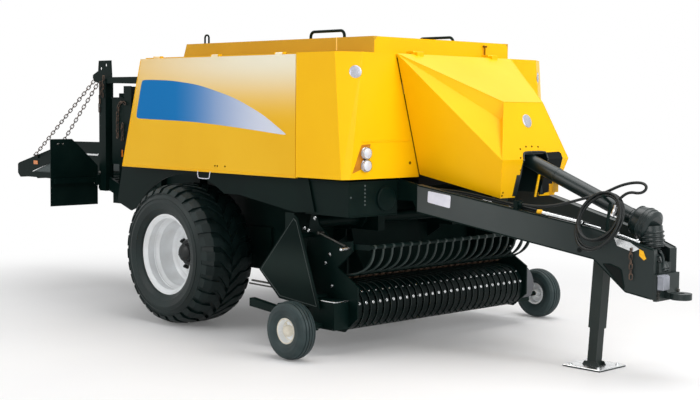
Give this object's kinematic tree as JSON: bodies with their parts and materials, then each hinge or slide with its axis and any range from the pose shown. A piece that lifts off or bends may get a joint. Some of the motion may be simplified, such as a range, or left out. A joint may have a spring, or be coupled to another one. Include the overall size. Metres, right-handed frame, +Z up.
{
  "type": "large square baler",
  "caption": "Towed large square baler with side doors, faceted front hood, pick-up reel, drawbar on a jack and a folding bale chute.",
  "frame": {"origin": "on the ground, at half the overall length and on the middle line", "axes": "+X forwards to the hitch, +Y to the left, +Z up"},
  "size_m": [8.82, 3.37, 2.699],
  "materials": {
    "yellow_paint": "gloss",
    "chassis_paint": "satin",
    "rim_paint": "gloss",
    "tyre_rubber": "matte",
    "hub_paint": "satin",
    "bare_steel": "satin",
    "shaft_guard": "matte",
    "lamp_lens": "gloss",
    "hose_rubber": "matte",
    "coupler_metal": "bright",
    "chain_steel": "dull",
    "gear_iron": "rough"
  },
  "bodies": {
    "root": {"main_frame": "chassis_paint", "bale_chamber": "chassis_paint", "axle": "chassis_paint", "press_frame": "chassis_paint", "plunger": "gear_iron", "gearbox": "gear_iron", "drive_shaft": "shaft_guard", "shaft_bell": "shaft_guard", "drawbar_beam_right": "chassis_paint", "drawbar_beam_left": "chassis_paint", "hitch": "chassis_paint", "jack_sleeve": "chassis_paint", "roof": "yellow_paint", "roof_rails": "chassis_paint", "corner_cover_right": "yellow_paint", "corner_cover_left": "yellow_paint", "fender_right": "chassis_paint", "fender_left": "chassis_paint", "rear_frame": "chassis_paint", "light_boards": "chassis_paint", "lamps": "lamp_lens", "needle_yoke": "chassis_paint", "stuffer_housing": "chassis_paint", "feeder_guard_right": "chassis_paint", "feeder_guard_left": "chassis_paint", "hose_coil": "hose_rubber", "hose_coupler": "coupler_metal", "hose_holder": "chassis_paint", "hose_run": "hose_rubber"},
    "wheel_right": {"main_tyre_right": "tyre_rubber", "main_rim_right": "rim_paint", "main_hub_right": "hub_paint"},
    "wheel_left": {"main_tyre_left": "tyre_rubber", "main_rim_left": "rim_paint", "main_hub_left": "hub_paint"},
    "jack": {"jack_leg": "bare_steel"},
    "pickup": {"pickup_frame": "chassis_paint", "pickup_bands": "chassis_paint"},
    "reel": {"pickup_reel": "chassis_paint"},
    "guard": {"wind_guard": "chassis_paint"},
    "gauge_wheel_right": {"gauge_tyre_right": "tyre_rubber", "gauge_rim_right": "rim_paint"},
    "gauge_wheel_left": {"gauge_tyre_left": "tyre_rubber", "gauge_rim_left": "rim_paint"},
    "chute": {"bale_chute": "chassis_paint"},
    "outer_chains": {"chains_outer": "chain_steel"},
    "inner_chains": {"chains_inner": "chain_steel"},
    "door_right": {"side_door_right": "yellow_paint"},
    "door_left": {"side_door_left": "yellow_paint"},
    "hood": {"front_hood": "yellow_paint"}
  },
  "joints": [
    {"name": "wheel_right_spin", "type": "hinge", "parent": "root", "child": "wheel_right", "pos_m": [-0.22, -1.11, 0.65], "axis": [0, 1, 0], "continuous": true},
    {"name": "wheel_left_spin", "type": "hinge", "parent": "root", "child": "wheel_left", "pos_m": [-0.22, 1.11, 0.65], "axis": [0, 1, 0], "continuous": true},
    {"name": "jack_slide", "type": "slide", "parent": "root", "child": "jack", "axis": [0.0685, 0, 0.9976], "range_m": [-0.12, 0]},
    {"name": "pickup_lift", "type": "hinge", "parent": "root", "child": "pickup", "pos_m": [1.5, 0, 1.06], "axis": [0, -1, 0], "range_deg": [0, 20]},
    {"name": "reel_spin", "type": "hinge", "parent": "pickup", "child": "reel", "pos_m": [1.81, 0, 0.37], "axis": [0, 1, 0], "continuous": true},
    {"name": "wind_guard_swing", "type": "hinge", "parent": "pickup", "child": "guard", "pos_m": [1.93, 0, 0.88], "axis": [0, -1, 0], "range_deg": [0, 15]},
    {"name": "gauge_right_spin", "type": "hinge", "parent": "pickup", "child": "gauge_wheel_right", "pos_m": [1.78, -1.6, 0.235], "axis": [0, 1, 0], "continuous": true},
    {"name": "gauge_left_spin", "type": "hinge", "parent": "pickup", "child": "gauge_wheel_left", "pos_m": [1.78, 1.6, 0.235], "axis": [0, 1, 0], "continuous": true},
    {"name": "chute_fold", "type": "hinge", "parent": "root", "child": "chute", "pos_m": [-2.47, 0, 1.165], "axis": [0, 1, 0], "range_deg": [0, 80]},
    {"name": "outer_chains_swing", "type": "hinge", "parent": "root", "child": "outer_chains", "pos_m": [-2.644, 0, 2.318], "axis": [0, 1, 0], "range_deg": [-56, 0]},
    {"name": "inner_chains_swing", "type": "hinge", "parent": "root", "child": "inner_chains", "pos_m": [-2.602, 0, 2.276], "axis": [0, 1, 0], "range_deg": [-48, 0]},
    {"name": "door_right_lift", "type": "hinge", "parent": "root", "child": "door_right", "pos_m": [0.28, -1.277, 2.46], "axis": [-1, 0, 0], "range_deg": [0, 85]},
    {"name": "door_left_lift", "type": "hinge", "parent": "root", "child": "door_left", "pos_m": [0.28, 1.277, 2.46], "axis": [1, 0, 0], "range_deg": [0, 85]},
    {"name": "hood_lift", "type": "hinge", "parent": "root", "child": "hood", "pos_m": [2.082, 0, 2.474], "axis": [0, -1, 0], "range_deg": [0, 60]}
  ],
  "couplings": [
    {"joint": "outer_chains_swing", "follows": "chute_fold", "ratio": -0.6924},
    {"joint": "inner_chains_swing", "follows": "chute_fold", "ratio": -0.5917}
  ]
}
